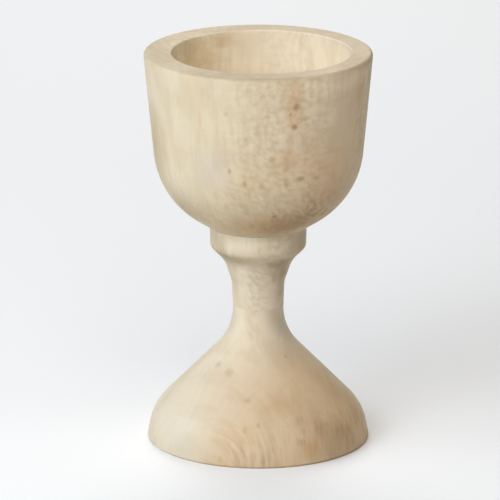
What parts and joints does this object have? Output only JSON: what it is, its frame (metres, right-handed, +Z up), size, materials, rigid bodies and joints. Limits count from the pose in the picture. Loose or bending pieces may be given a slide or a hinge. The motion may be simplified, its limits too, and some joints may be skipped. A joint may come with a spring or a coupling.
{
  "type": "communion chalice",
  "caption": "Turned wooden cup with a deep, thick-walled bowl on a collared stem and a bell-shaped foot, for serving communion wine.",
  "frame": {"origin": "centre of the foot's underside, on the plane that the chalice stands on", "axes": "+Z up along the axis that the chalice was turned on; it is the same all round, so X and Y are any two level directions"},
  "size_m": [0.0854, 0.0854, 0.15],
  "materials": {
    "bowl_wood": "bare beech, fine-turned and sanded",
    "collar_wood": "bare beech, fine-turned and sanded",
    "stem_wood": "bare beech, fine-turned and sanded",
    "foot_wood": "bare beech, fine-turned and sanded",
    "dowel_wood": "fluted beech dowel, machined",
    "felt": "pressed wool felt"
  },
  "bodies": {
    "root": {"bowl": "bowl_wood", "collar": "collar_wood", "stem": "stem_wood", "foot": "foot_wood", "center_dowel": "dowel_wood", "felt_pad": "felt"}
  },
  "joints": []
}
